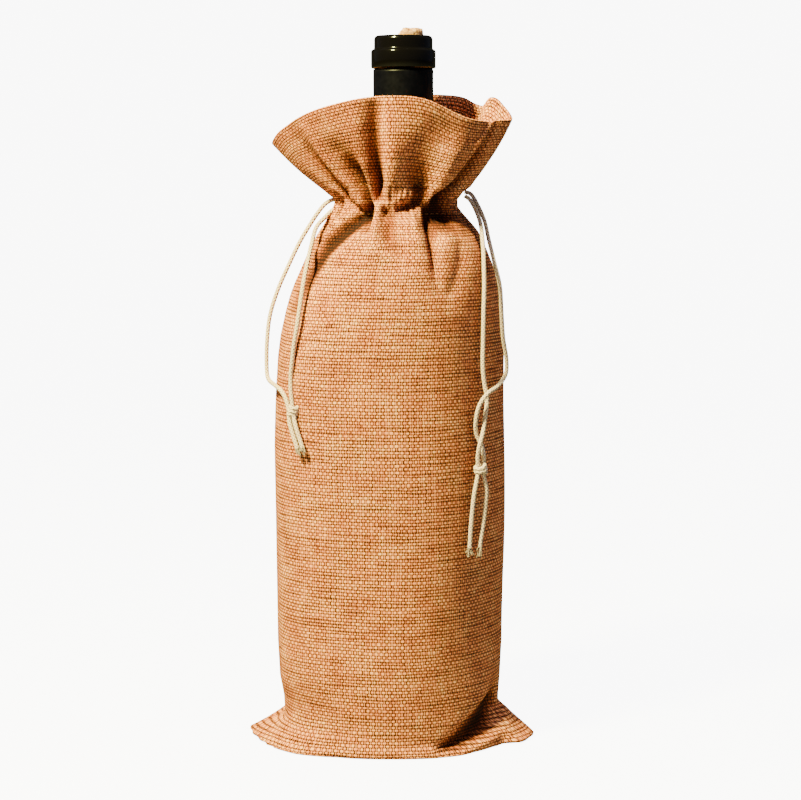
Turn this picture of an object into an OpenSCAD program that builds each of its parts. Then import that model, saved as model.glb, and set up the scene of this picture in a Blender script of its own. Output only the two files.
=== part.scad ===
// Drawstring gift bag of woven cloth, gathered round the neck of a 750 ml wine bottle.
// Millimetres, +Z up, front is -Y. The origin is on the floor under the middle of the bag.

/* [Bag] */
// Half the width of the filled bag, side to side
bag_half_width = 53; // [52:0.5:54]
// Half the depth of the filled bag, front to back
bag_half_depth = 41; // [40.5:0.5:42]
// Height at which the straight body ends and the shoulder begins
body_height = 185; // [183:1:187]
// Thickness of one layer of cloth
cloth = 0.8; // [0.7:0.05:0.9]
// Reach of the flattened bottom corners from the middle
corner_reach = 67.5; // [64:0.5:68]
// Height of the flattened bottom corners
corner_height = 18; // [15:1:20]

/* [Gathered neck] */
// Sideways position of the gathered neck over the base
neck_x = 5; // [4.5:0.5:5.5]
// Outer radius of the gathered casing
gather_radius = 30; // [29.5:0.5:30.5]
// Height of the lower row of casing stitches
casing_bottom = 244; // [243:1:244]
// Height of the casing between its two rows of stitches
casing_height = 14; // [13.5:0.5:14]
// Width of the cord channel inside the casing
channel_width = 4.9; // [4.5:0.1:5]

/* [Ruffle] */
// Half the width of the ruffle's rim, side to side
rim_half_width = 52.5; // [50:0.5:54]
// Half the depth of the ruffle's rim, front to back
rim_half_depth = 34; // [32:0.5:36]
// Height of the rim at the front and back
rim_height = 297; // [294:1:298]
// How far the rim drops at its two sides
rim_side_drop = 14; // [10:1:16]
// How much lower the left tip is than the right one, halved
rim_tilt = 6; // [4:1:6]
// Depth of the ruffle's waves at the rim
wave_depth = 2.2; // [1.5:0.1:2.5]
// Number of waves round the rim
wave_count = 10; // [8:1:11]

/* [Cords] */
// Diameter of the braided cord
cord_diameter = 2; // [1.8:0.1:2]
// Height of the left cord's turn inside the casing
left_cord_height = 248; // [247.5:0.5:248.5]
// Height of the right cord's turn inside the casing
right_cord_height = 253.5; // [253:0.5:254]

/* [Bottle] */
// Radius of the bottle's body
bottle_radius = 37.5; // [36:0.5:38]
// Height of the bottle without its cork
bottle_height = 323; // [321:1:324]
// Outer radius of the neck under the foil
neck_radius = 13.35; // [13:0.05:13.4]
// Outer radius of the ring below the lip
ring_radius = 14.75; // [14.5:0.05:15]
// Radius of the bore that holds the cork
bore_radius = 9.25; // [9.25:0.05:9.5]
// Thickness of the foil capsule
foil = 0.2; // [0.15:0.05:0.25]
// Length of the cork
cork_length = 44; // [38:1:49]
// How far the cork stands proud of the lip
cork_proud = 3.6; // [2:0.1:5]

/* [Hidden] */
$fn = 96;
round_fn = 24;

base_centre_x = -1.5;
base_taper = 0.045;
taper_height = 70;
shoulder_power = 2.4;
casing_top = casing_bottom + casing_height;
seam_gap = 0.2;
steps = 44;
body_rows = [0, 3, 6, 10, 14, 18, 26, 40, 60, 90, 120, 150, body_height];
corner_spread = 24;
wave_start = 30;
slot_angle = 8;
channel_wall = cloth;
channel_inner = gather_radius - 2 * channel_wall - channel_width;
run_radius = gather_radius - channel_wall - channel_width / 2;
run_end_angle = 12;
hem_layers = 2;
seam_width = 8;
seam_lift = 0.3;
thread_radius = 0.3;
thread_gap = 0.15;
bottle_bottom = 2.8;
bottle_wall = 3;
heel_radius = 5;
punt_height = 22;
punt_profile = [[0, 1], [0.35, 0.8], [0.7, 0.14], [0.8, 0]];
glass_floor = 4;
inner_corner = 7;
lip_round = 0.8;
ring_round = 0.6;
bore_depth_above_neck = 8;
curve_steps = 12;
bottle_shoulder = 185;
bottle_neck_start = 238;
ring_bottom = 311;
ring_top = 319.4;
foil_bottom = 252;
foil_top = 310.6;
foil_gap = 0.1;
wine_gap = 0.15;
wine_top = 262;
cork_gap = 0.05;
crumbled_slope = 12;
cord_sides = 8;
tail_radius = 0.95;

// Section of the bag at a height: how far the shoulder has closed, from 0 to 1.
function closed(z) =
  pow(min(1, max(0, (z - body_height) / (casing_bottom - body_height))), shoulder_power);
function taper(z) = 1 - base_taper * pow(max(0, 1 - z / taper_height), 2);
function mix(a, b, f) = a * (1 - f) + b * f;
function half_width(z) = mix(bag_half_width * taper(z), gather_radius, closed(z));
function half_depth(z) = mix(bag_half_depth * taper(z), gather_radius, closed(z));
function centre_x(z) = mix(base_centre_x, neck_x, closed(z));
function side(angle) = cos(angle) >= 0 ? 1 : -1;
function off_side(angle) = abs(asin(sin(angle)));

// Sideways length added by the flattened bottom corner.
function corner(angle, z) =
  (corner_reach - bag_half_width * taper(0) - side(angle) * base_centre_x)
  * pow(max(0, 1 - z / corner_height), 1.5)
  * pow(max(0, 1 - off_side(angle) / corner_spread), 1.5);

// Point on the bag wall, inset from its outer face.
function wall_point(angle, z, inset) = [
  centre_x(z) + (half_width(z) - inset) * cos(angle) + side(angle) * corner(angle, z),
  (half_depth(z) - inset) * sin(angle),
  z
];

// Point on the ruffle: rise runs from 0 at the casing to 1 at the rim.
function rim_z(angle) =
  rim_height - rim_side_drop * pow(cos(angle), 2) + rim_tilt * cos(angle) * abs(cos(angle));
function wave(angle, rise) = wave_depth * rise * cos(wave_count * angle + wave_start);
function ruffle_point(angle, rise, inset) = [
  mix(neck_x, 0, rise)
    + (mix(gather_radius, rim_half_width, rise) - inset + wave(angle, rise)) * cos(angle),
  (mix(gather_radius, rim_half_depth, rise) - inset + wave(angle, rise)) * sin(angle),
  mix(casing_top, rim_z(angle), rise)
];

// The two ends of a half lie flat against the seam plane.
function flat_end(p, j, n, y) = (j == 0 || j == n) ? [p[0], y, p[2]] : p;

function split(faces) = [
  for (f = faces) each [[f[0], f[1], f[2]], [f[0], f[2], f[3]]]
];

// Solid between an outer and an inner grid of points, each rows by columns.
module cloth_solid(outer, inner, floor = false) {
  m = len(outer) - 1;
  n = len(outer[0]) - 1;
  w = n + 1;
  k = (m + 1) * w;
  walls = split([
    for (i = [0:m - 1], j = [0:n - 1]) each [
      [i * w + j, (i + 1) * w + j, (i + 1) * w + j + 1, i * w + j + 1],
      [k + i * w + j, k + i * w + j + 1, k + (i + 1) * w + j + 1, k + (i + 1) * w + j]
    ]
  ]);
  top = split([
    for (j = [0:n - 1]) [m * w + j, k + m * w + j, k + m * w + j + 1, m * w + j + 1]
  ]);
  ends = split([
    for (i = [0:m - 1]) each [
      [i * w, k + i * w, k + (i + 1) * w, (i + 1) * w],
      [i * w + n, (i + 1) * w + n, k + (i + 1) * w + n, k + i * w + n]
    ]
  ]);
  open_bottom = split([for (j = [0:n - 1]) [j, j + 1, k + j + 1, k + j]]);
  floor_faces = [
    [for (j = [0:n]) j],
    [for (j = [0:n]) k + n - j],
    [0, n, k + n, k]
  ];
  polyhedron(
    points = concat([for (r = outer) each r], [for (r = inner) each r]),
    faces = concat(walls, top, ends, floor ? floor_faces : open_bottom),
    convexity = 8
  );
}

// Half of the bag between two heights: start is 180 for the front and 0 for the back.
module wall_half(start, rows, floor) {
  y = start == 180 ? -seam_gap : seam_gap;
  outer = [for (z = rows) [for (j = [0:steps])
    flat_end(wall_point(start + 180 * j / steps, z, 0), j, steps, y)]];
  inner = [for (z = rows) [for (j = [0:steps])
    flat_end(wall_point(start + 180 * j / steps, (floor && z == 0) ? cloth : z, cloth),
      j, steps, y)]];
  cloth_solid(outer, inner, floor);
}

module ruffle_half(start) {
  y = start == 180 ? -seam_gap : seam_gap;
  rises = [0, 0.12, 0.3, 0.5, 0.75, 1];
  outer = [for (t = rises) [for (j = [0:steps])
    flat_end(ruffle_point(start + 180 * j / steps, t, 0), j, steps, y)]];
  inner = [for (t = rises) [for (j = [0:steps])
    flat_end(ruffle_point(start + 180 * j / steps, t, hem_layers * cloth), j, steps, y)]];
  cloth_solid(outer, inner);
}

module casing_half(start) {
  translate([neck_x, 0, casing_bottom])
    rotate([0, 0, start + slot_angle])
      rotate_extrude(angle = 180 - 2 * slot_angle)
        difference() {
          translate([channel_inner, 0])
            square([gather_radius - channel_inner, casing_height]);
          translate([channel_inner + channel_wall, channel_wall])
            square([channel_width, casing_height - 2 * channel_wall]);
        }
}

// Strip of spare cloth folded against the inside of the wall beside a side seam.
module seam_strip(middle) {
  rows = [22, 40, 70, 110, 150, body_height, 205, 220, 232, 240];
  spread = seam_width / bag_half_width * 90 / PI;
  top = cloth + seam_lift;
  outer = [for (z = rows) [for (j = [-3:3]) wall_point(middle + j * spread / 3, z, top)]];
  inner = [for (z = rows) [for (j = [-3:3])
    wall_point(middle + j * spread / 3, z, top + cloth)]];
  cloth_solid(outer, inner);
}

function unit(v) = v / norm(v);
function along(route, i) = unit(route[min(len(route) - 1, i + 1)] - route[max(0, i - 1)]);

// Round tube along a route of points.
module tube(route, r, sides = cord_sides) {
  m = len(route);
  rings = [
    for (i = [0:m - 1])
      let (t = along(route, i), u = unit(cross([0, 1, 0], t)), v = cross(t, u))
        for (k = [0:sides - 1])
          route[i] + r * (cos(360 * k / sides) * u + sin(360 * k / sides) * v)
  ];
  skin = split([
    for (i = [0:m - 2], k = [0:sides - 1])
      [i * sides + k, (i + 1) * sides + k,
       (i + 1) * sides + (k + 1) % sides, i * sides + (k + 1) % sides]
  ]);
  start_cap = [for (k = [0:sides - 1]) k];
  end_cap = [for (k = [0:sides - 1]) m * sides - 1 - k];
  polyhedron(points = rings, faces = concat(skin, [start_cap, end_cap]), convexity = 6);
}

// Turn of cord held inside the casing, with its two ends at the seam on one side.
module cord_run(z, exit_angle) {
  translate([neck_x, 0, z])
    rotate([0, 0, exit_angle + run_end_angle])
      rotate_extrude(angle = 360 - 2 * run_end_angle)
        translate([run_radius, 0])
          circle(r = cord_diameter / 2, $fn = round_fn);
}

module thread_ring(z) {
  translate([neck_x, 0, z])
    rotate_extrude()
      translate([gather_radius + thread_radius + thread_gap, 0])
        circle(r = thread_radius, $fn = round_fn);
}

// Thread of a side seam, lying on the spare cloth inside the bag.
module side_thread(middle) {
  rows = [24, 40, 70, 110, 150, body_height, 205, 220, 232, 239];
  depth = 2 * cloth + seam_lift + thread_radius + 2 * thread_gap;
  tube([for (z = rows) wall_point(middle, z, depth)], thread_radius);
}

// Overhand knot: two crossing turns of cord pulled tight round the pair of strands.
module knot(place, lean, size) {
  translate(place)
    rotate([0, lean, 0])
      union() {
        for (turn = [-1, 1])
          rotate([turn * 24, 0, 0])
            rotate_extrude()
              translate([size - cord_diameter / 2, 0])
                circle(r = cord_diameter / 2, $fn = round_fn);
        cylinder(h = 2.4 * cord_diameter, r = size - cord_diameter / 2, center = true,
          $fn = round_fn);
      }
}

// Route points of the cords, from the casing's side openings down to the frayed ends.
left_front_route = [
  [-23, -1.7, 248], [-27, -2.2, 247.2], [-31, -5, 243.5], [-34.8, -7.5, 239], [-36.8, -14, 231],
  [-38.4, -21.6, 223], [-40, -26, 214], [-41.3, -28, 205], [-42.6, -28.9, 196],
  [-44, -28.3, 188], [-45, -27.5, 180], [-45.7, -26.6, 173], [-45.7, -26.8, 167],
  [-45.3, -27.4, 161.5]
];
left_rear_route = [
  [-23, 1.7, 250], [-26.5, 1.7, 251.7], [-30.5, 1, 250], [-34, 0, 246], [-38, 0, 240],
  [-43, -1, 231.5], [-48, -3, 221], [-52.6, -4.5, 210.5], [-56.2, -5, 199],
  [-57.6, -6, 187], [-57.8, -7, 175], [-56.8, -10, 170], [-53.5, -16.5, 168],
  [-50.3, -22, 166], [-48.4, -24.6, 162.5]
];
left_knot_place = [-45.5, -27.3, 157.5];
left_front_tail_route = [
  [-44.3, -29.6, 153.5], [-43, -31, 149.5], [-41.6, -32, 145.5], [-40.3, -33, 141.5]
];
left_rear_tail_route = [
  [-46.6, -28, 153.2], [-45.3, -29.3, 149], [-43.9, -30.6, 144.8], [-42.6, -31.6, 141]
];
right_front_route = [
  [33.1, -1.7, 253.5], [35.6, -2.3, 251.5], [38.3, -5, 246.5], [40.2, -8, 240.5], [41, -14.5, 232],
  [41.2, -20.5, 224.5], [41.3, -24.6, 214], [41, -27.2, 202], [40.8, -28.2, 190],
  [40.7, -28.6, 178], [41.5, -28.4, 170], [42.4, -28.4, 165.5], [42.6, -28.6, 161],
  [41.8, -29.6, 155], [40.8, -31.4, 148.5], [39.2, -32.8, 142.5], [37.7, -31.6, 137]
];
right_rear_route = [
  [33.1, 1.7, 255.3], [36.2, 1.4, 254], [39.2, -0.5, 249], [42.2, -2, 242], [44, -4, 234],
  [46.3, -10, 224], [48.9, -13, 213], [49.6, -16, 201], [50.3, -17.5, 190],
  [51.9, -16.5, 180], [51.5, -17.5, 173], [47.5, -23.5, 168.3], [43, -31.5, 166.2],
  [39.2, -32.6, 161], [37.6, -32.2, 154], [37.9, -30.2, 147.5], [40.4, -29.6, 142],
  [41.8, -29.8, 137]
];
right_knot_place = [39.8, -30.4, 131.5];
right_front_tail_route = [
  [37.8, -32.3, 127.5], [37, -33.2, 121], [36.2, -33.6, 114], [35.6, -33.8, 107],
  [35.2, -34, 101], [35, -34.2, 96]
];
right_rear_tail_route = [
  [42.1, -29.8, 127.3], [42.6, -29, 122], [42.2, -29.2, 115], [41.4, -29.9, 108],
  [40.4, -30.8, 101.5], [39.6, -31.6, 96]
];

module front_panel() {
  color([0.88, 0.63, 0.4]) wall_half(180, body_rows, true);
}

module back_panel() {
  color([0.88, 0.63, 0.4]) wall_half(0, body_rows, true);
}

shoulder_rows = [
  body_height, 193, 201, 209, 217, 225, 232, 238, casing_bottom
];

module front_shoulder() {
  color([0.88, 0.63, 0.4]) wall_half(180, shoulder_rows, false);
}

module back_shoulder() {
  color([0.88, 0.63, 0.4]) wall_half(0, shoulder_rows, false);
}

module front_casing() {
  color([0.86, 0.61, 0.39]) casing_half(180);
}

module back_casing() {
  color([0.86, 0.61, 0.39]) casing_half(0);
}

module front_ruffle() {
  color([0.88, 0.63, 0.4]) ruffle_half(180);
}

module back_ruffle() {
  color([0.88, 0.63, 0.4]) ruffle_half(0);
}

module left_seam_allowance() {
  color([0.82, 0.58, 0.36]) seam_strip(180);
}

module right_seam_allowance() {
  color([0.82, 0.58, 0.36]) seam_strip(0);
}

module bottom_seam_allowance() {
  color([0.82, 0.58, 0.36])
    translate([base_centre_x, 0, cloth + seam_lift + cloth / 2])
      cube([2 * (bag_half_width - seam_width), seam_width, cloth], center = true);
}

module left_side_stitching() {
  color([0.8, 0.6, 0.4]) side_thread(180);
}

module right_side_stitching() {
  color([0.8, 0.6, 0.4]) side_thread(0);
}

module bottom_stitching() {
  color([0.8, 0.6, 0.4])
    translate([base_centre_x, -seam_width / 2 - 1, cloth + seam_lift + thread_radius])
      rotate([0, 90, 0])
        cylinder(h = 2 * (bag_half_width - seam_width), r = thread_radius, center = true,
          $fn = round_fn);
}

module lower_casing_stitching() {
  color([0.8, 0.6, 0.4]) thread_ring(casing_bottom + 1);
}

module upper_casing_stitching() {
  color([0.8, 0.6, 0.4]) thread_ring(casing_top - 1);
}

module left_cord_run() {
  color([0.93, 0.87, 0.74]) cord_run(left_cord_height, 180);
}

module right_cord_run() {
  color([0.93, 0.87, 0.74]) cord_run(right_cord_height, 0);
}

module left_front_strand() {
  color([0.93, 0.87, 0.74]) tube(left_front_route, cord_diameter / 2);
}

module left_rear_strand() {
  color([0.93, 0.87, 0.74]) tube(left_rear_route, cord_diameter / 2);
}

module left_knot() {
  color([0.93, 0.87, 0.74]) knot(left_knot_place, 14, 2.6);
}

module left_front_tail() {
  color([0.93, 0.87, 0.74]) tube(left_front_tail_route, tail_radius);
}

module left_rear_tail() {
  color([0.93, 0.87, 0.74]) tube(left_rear_tail_route, tail_radius);
}

module right_front_strand() {
  color([0.93, 0.87, 0.74]) tube(right_front_route, cord_diameter / 2);
}

module right_rear_strand() {
  color([0.93, 0.87, 0.74]) tube(right_rear_route, cord_diameter / 2);
}

module right_knot() {
  color([0.93, 0.87, 0.74]) knot(right_knot_place, 0, 3.3);
}

module right_front_tail() {
  color([0.93, 0.87, 0.74]) tube(right_front_tail_route, tail_radius);
}

module right_rear_tail() {
  color([0.93, 0.87, 0.74]) tube(right_rear_tail_route, tail_radius);
}

lip_top = bottle_bottom + bottle_height;

// Shoulder curve of the bottle, from the body's radius in to the neck's.
function bottle_curve(inset) = [
  for (i = [0:curve_steps])
    let (f = i / curve_steps, s = (1 - cos(180 * f)) / 2)
      [mix(bottle_radius, neck_radius, s) - inset,
       mix(bottle_shoulder, bottle_neck_start, f)]
];

// Hollow under the bottle, and the glass floor over it.
function punt(z) = [for (p = punt_profile) [bottle_radius * p[0], z + punt_height * p[1]]];
function inner_floor() = [
  for (p = punt_profile)
    [bottle_radius * p[0],
     bottle_bottom + max(inner_corner, punt_height * p[1] + glass_floor)]
];

module bottle_glass() {
  color([0.06, 0.09, 0.04])
    translate([neck_x, 0, 0])
      rotate_extrude()
        polygon(concat(
          punt(bottle_bottom),
          [[bottle_radius - heel_radius, bottle_bottom]],
          [for (a = [-60:30:0])
            [bottle_radius - heel_radius * (1 - cos(a)),
             bottle_bottom + heel_radius * (1 + sin(a))]],
          bottle_curve(0),
          [[neck_radius, ring_bottom], [ring_radius - ring_round, ring_bottom],
           [ring_radius, ring_bottom + ring_round], [ring_radius, ring_top - ring_round],
           [ring_radius - ring_round, ring_top], [neck_radius, ring_top],
           [neck_radius, lip_top - lip_round], [neck_radius - lip_round, lip_top],
           [bore_radius, lip_top], [bore_radius, bottle_neck_start + bore_depth_above_neck]],
          [for (p = [curve_steps:-1:0]) bottle_curve(bottle_wall)[p]],
          [[bottle_radius - bottle_wall, bottle_bottom + 2 * inner_corner]],
          [for (p = [len(punt_profile) - 1:-1:0]) inner_floor()[p]]
        ));
}

module foil_capsule() {
  color([0.04, 0.04, 0.04])
    translate([neck_x, 0, foil_bottom])
      difference() {
        cylinder(h = foil_top - foil_bottom, r = neck_radius + foil_gap + foil);
        translate([0, 0, -1])
          cylinder(h = foil_top - foil_bottom + 2, r = neck_radius + foil_gap);
      }
}

module wine() {
  color([0.25, 0.02, 0.06])
    translate([neck_x, 0, 0])
      rotate_extrude()
        polygon(concat(
          [for (p = inner_floor()) [max(0, p[0] - wine_gap), p[1] + 2 * wine_gap]],
          [[bottle_radius - bottle_wall - wine_gap, bottle_bottom + 2 * inner_corner + wine_gap]],
          [for (p = bottle_curve(bottle_wall)) [p[0] - wine_gap, p[1] - wine_gap]],
          [[bore_radius - wine_gap, bottle_neck_start + bore_depth_above_neck + wine_gap],
           [bore_radius - wine_gap, wine_top], [0, wine_top]]
        ));
}

module cork() {
  color([0.78, 0.6, 0.42])
    translate([neck_x, 0, lip_top + cork_proud - cork_length])
      difference() {
        cylinder(h = cork_length, r = bore_radius - cork_gap);
        translate([-bore_radius, 0, cork_length])
          rotate([0, crumbled_slope, 0])
            cube([bore_radius, 4 * bore_radius, 2 * cork_proud], center = true);
      }
}

front_panel();
back_panel();
front_shoulder();
back_shoulder();
front_casing();
back_casing();
front_ruffle();
back_ruffle();
left_seam_allowance();
right_seam_allowance();
bottom_seam_allowance();
left_side_stitching();
right_side_stitching();
bottom_stitching();
lower_casing_stitching();
upper_casing_stitching();
left_cord_run();
right_cord_run();
left_front_strand();
left_rear_strand();
left_knot();
left_front_tail();
left_rear_tail();
right_front_strand();
right_rear_strand();
right_knot();
right_front_tail();
right_rear_tail();
bottle_glass();
foil_capsule();
wine();
cork();
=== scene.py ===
import math
import bpy
import numpy as np
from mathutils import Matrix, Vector


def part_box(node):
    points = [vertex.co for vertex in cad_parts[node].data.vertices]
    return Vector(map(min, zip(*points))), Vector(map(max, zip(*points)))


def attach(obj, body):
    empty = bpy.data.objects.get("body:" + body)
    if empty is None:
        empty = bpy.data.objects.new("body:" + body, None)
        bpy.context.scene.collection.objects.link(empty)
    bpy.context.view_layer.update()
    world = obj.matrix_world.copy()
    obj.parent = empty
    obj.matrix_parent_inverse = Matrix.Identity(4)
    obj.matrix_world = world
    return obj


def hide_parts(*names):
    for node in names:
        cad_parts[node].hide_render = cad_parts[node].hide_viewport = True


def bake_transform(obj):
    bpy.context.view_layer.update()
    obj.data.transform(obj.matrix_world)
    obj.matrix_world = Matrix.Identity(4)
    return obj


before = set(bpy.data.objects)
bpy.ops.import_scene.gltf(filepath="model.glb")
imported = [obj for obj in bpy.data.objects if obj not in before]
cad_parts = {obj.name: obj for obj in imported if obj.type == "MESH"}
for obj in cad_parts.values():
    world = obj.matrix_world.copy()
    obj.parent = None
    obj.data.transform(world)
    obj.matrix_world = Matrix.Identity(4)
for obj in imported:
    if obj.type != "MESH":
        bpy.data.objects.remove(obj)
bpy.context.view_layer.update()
MM = 0.001

# The bottle gives the places that the cloth and the cork are built from, in millimetres.
glass_low, glass_high = (np.array(corner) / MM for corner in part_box("bottle_glass"))
NECK_X = round(float(glass_low[0] + glass_high[0]) / 2, 2)
BOTTOM = round(float(glass_low[2]), 2)
TOP = round(float(glass_high[2]), 2)

# Camera: level with the middle of the bag and a little above it.
ELEVATION = math.radians(7.2)
DISTANCE = 0.95
AIM = Vector((0.0037, 0.0, 0.1591))
camera = bpy.data.objects.new("camera", bpy.data.cameras.new("camera"))
bpy.context.scene.collection.objects.link(camera)
bpy.context.scene.camera = camera
camera.data.lens = 92.0
camera.data.sensor_width = 36.0
camera.location = AIM + DISTANCE * Vector((0, -math.cos(ELEVATION), math.sin(ELEVATION)))
camera.rotation_euler = (math.pi / 2 - ELEVATION, 0, 0)
camera.data.clip_start = 0.05
camera.data.clip_end = 20


# ---------- meshes
def add_layer(mesh, name, pairs):
    """A UV layer from one pair of numbers for each point."""
    corner = np.empty(len(mesh.loops), int)
    mesh.loops.foreach_get("vertex_index", corner)
    layer = mesh.uv_layers.new(name=name)
    layer.data.foreach_set("uv", np.asarray(pairs, float)[corner].astype(np.float32).ravel())


def add_mesh(name, points, faces, material, uv=None):
    """A mesh from points in millimetres; uv is one pair of millimetres for each point."""
    mesh = bpy.data.meshes.new(name)
    mesh.from_pydata([tuple(p) for p in np.asarray(points) * MM], [], faces)
    if uv is not None:
        add_layer(mesh, "cloth_mm", uv)
    mesh.polygons.foreach_set("use_smooth", [True] * len(mesh.polygons))
    mesh.materials.append(material)
    mesh.update()
    obj = bpy.data.objects.new(name, mesh)
    bpy.context.scene.collection.objects.link(obj)
    return obj


def grid_faces(rows, columns, closed=False):
    span = columns if closed else columns - 1
    return [
        (i * columns + j, i * columns + (j + 1) % columns,
         (i + 1) * columns + (j + 1) % columns, (i + 1) * columns + j)
        for i in range(rows - 1) for j in range(span)
    ]


def distances(points):
    """Distance of each point from the first, along the line."""
    return np.concatenate([[0], np.cumsum(np.linalg.norm(np.diff(points, axis=0), axis=1))])


def points_at(at, run, points):
    return np.column_stack([np.interp(at, run, values) for values in points.T])


def spline(points, step):
    """Points along a smooth curve through the given ones, about step apart."""
    p = np.asarray(points, float)
    p = np.vstack([2 * p[0] - p[1], p, 2 * p[-1] - p[-2]])
    fine = []
    for i in range(1, len(p) - 2):
        t = np.linspace(0, 1, 12, endpoint=False)[:, None]
        a, b, c, d = p[i - 1], p[i], p[i + 1], p[i + 2]
        fine.append(0.5 * (2 * b + (c - a) * t + (2 * a - 5 * b + 4 * c - d) * t ** 2
                           + (3 * b - a - 3 * c + d) * t ** 3))
    fine = np.vstack(fine + [p[-2:-1]])
    run = distances(fine)
    return points_at(np.linspace(0, run[-1], max(3, int(run[-1] / step) + 1)), run, fine)


def frames_along(path):
    """Two unit vectors across the path at each point, turning as little as they can."""
    tangent = np.gradient(path, axis=0)
    tangent /= np.linalg.norm(tangent, axis=1)[:, None]
    across = np.cross(tangent[0], [0, 1, 0])
    u = []
    for t in tangent:
        across = across - t * np.dot(across, t)
        across /= np.linalg.norm(across)
        u.append(across.copy())
    u = np.array(u)
    return u, np.cross(tangent, u)


# The braid of the cords: how many yarns cross round it, and their pitch in millimetres.
BRAID_YARNS = 4
BRAID_PITCH = 7.0


def tube_points(path, radius, sides, relief=0.0):
    """Rings round a path; relief cuts the diamond pattern of a braid into them."""
    path = np.asarray(path, float)
    u, v = frames_along(path)
    run = distances(path)
    angle = 2 * math.pi * np.arange(sides) / sides
    turn = 2 * math.pi * run[:, None] * BRAID_YARNS / BRAID_PITCH
    weave = np.maximum(np.cos(BRAID_YARNS * angle + turn), np.cos(BRAID_YARNS * angle - turn))
    r = radius * (1 - relief * (1 - weave) / 2)
    rings = (path[:, None] + (r * np.cos(angle))[..., None] * u[:, None]
             + (r * np.sin(angle))[..., None] * v[:, None])
    uv = np.stack(np.broadcast_arrays(angle[None] * 1.0, run[:, None]), axis=-1)
    return rings.reshape(-1, 3), uv.reshape(-1, 2)


def tubes(name, paths, radius, material, sides=16, relief=0.0):
    """One mesh of tubes with closed ends, along one path or more."""
    points, uvs, faces, base = [], [], [], 0
    for path in paths:
        p, uv = tube_points(path, radius, sides, relief)
        faces += [tuple(base + i for i in f) for f in grid_faces(len(path), sides, closed=True)]
        faces.append(tuple(base + i for i in reversed(range(sides))))
        faces.append(tuple(base + i for i in range(len(p) - sides, len(p))))
        base += len(p)
        points.append(p)
        uvs.append(uv)
    return add_mesh(name, np.vstack(points), faces, material, np.vstack(uvs))


def spun(name, profile, axis_x, material, segments=96):
    """A solid of revolution about a vertical axis from (radius, height) points."""
    profile = np.asarray(profile, float)
    angle = 2 * math.pi * np.arange(segments) / segments
    rings = [[axis_x + r * math.cos(a), r * math.sin(a), z] for r, z in profile for a in angle]
    return add_mesh(name, rings, grid_faces(len(profile), segments, closed=True), material)


# ---------- materials
class Graph:
    """Small helper for building a material's nodes."""

    def __init__(self, name):
        self.material = bpy.data.materials.new(name)
        self.material.use_nodes = True
        self.tree = self.material.node_tree
        self.shader = self.tree.nodes["Principled BSDF"]

    def node(self, kind):
        return self.tree.nodes.new("ShaderNode" + kind)

    def put(self, socket, value):
        if isinstance(value, bpy.types.NodeSocket):
            self.tree.links.new(value, socket)
        else:
            socket.default_value = value

    def set(self, name, value):
        self.put(self.shader.inputs[name], value)

    def math(self, operation, a, b=None, c=None):
        n = self.node("Math")
        n.operation = operation
        for socket, value in zip(n.inputs, (a, b, c)):
            if value is not None:
                self.put(socket, value)
        return n.outputs[0]

    def times(self, a, b):
        return self.math("MULTIPLY", a, b)

    def plus(self, a, b):
        return self.math("ADD", a, b)

    def less(self, a, b):
        return self.math("SUBTRACT", a, b)

    def scaled(self, a, factor, more):
        return self.math("MULTIPLY_ADD", a, factor, more)

    def tinted(self, a, b):
        """One colour multiplied by another."""
        n = self.node("Mix")
        n.data_type = "RGBA"
        n.blend_type = "MULTIPLY"
        self.put(n.inputs[0], 1.0)
        self.put(n.inputs[6], a)
        self.put(n.inputs[7], b)
        return n.outputs[2]

    def either(self, choice, a, b):
        """The number a where choice is 0, and b where it is 1."""
        n = self.node("Mix")
        self.put(n.inputs[0], choice)
        self.put(n.inputs[2], a)
        self.put(n.inputs[3], b)
        return n.outputs[0]

    def ramp(self, factor, stops):
        n = self.node("ValToRGB")
        self.put(n.inputs[0], factor)
        while len(n.color_ramp.elements) < len(stops):
            n.color_ramp.elements.new(0.5)
        for element, (at, colour) in zip(n.color_ramp.elements, stops):
            element.position = at
            element.color = (*colour, 1)
        return n.outputs[0]

    def noise(self, vector, scale, detail=2.0, roughness=0.5):
        n = self.node("TexNoise")
        self.put(n.inputs["Vector"], vector)
        self.put(n.inputs["Scale"], scale)
        self.put(n.inputs["Detail"], detail)
        self.put(n.inputs["Roughness"], roughness)
        return n.outputs[0]

    def combine(self, x, y, z=0.0):
        n = self.node("CombineXYZ")
        for socket, value in zip(n.inputs, (x, y, z)):
            self.put(socket, value)
        return n.outputs[0]

    def uv(self, layer="cloth_mm"):
        n = self.node("UVMap")
        n.uv_map = layer
        s = self.node("SeparateXYZ")
        self.tree.links.new(n.outputs[0], s.inputs[0])
        return s.outputs[0], s.outputs[1]

    def place(self):
        return self.node("TexCoord").outputs["Object"]

    def bump(self, height, strength, distance):
        n = self.node("Bump")
        self.put(n.inputs["Strength"], strength)
        self.put(n.inputs["Distance"], distance)
        self.put(n.inputs["Height"], height)
        self.set("Normal", n.outputs[0])


# Spacing of the yarns, in millimetres of flat cloth.
WARP_PITCH = 1.23
WEFT_PITCH = 1.48
# Painted shade: the colour darkens with depth between the yarns, and with depth inside a fold.
YARN_GAP_SHADE = [(0.0, (0.015, 0.009, 0.006)), (0.35, (0.09, 0.06, 0.045)), (0.58, (0.27, 0.215, 0.18)),
                 (0.78, (0.66, 0.63, 0.60)), (0.96, (1.0, 1.0, 1.0))]
FOLD_SHADE_RAMP = [(0.1, (1.0, 1.0, 1.0)), (0.35, (0.50, 0.38, 0.30)), (0.7, (0.15, 0.085, 0.055)),
                (1.0, (0.035, 0.018, 0.012))]


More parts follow.
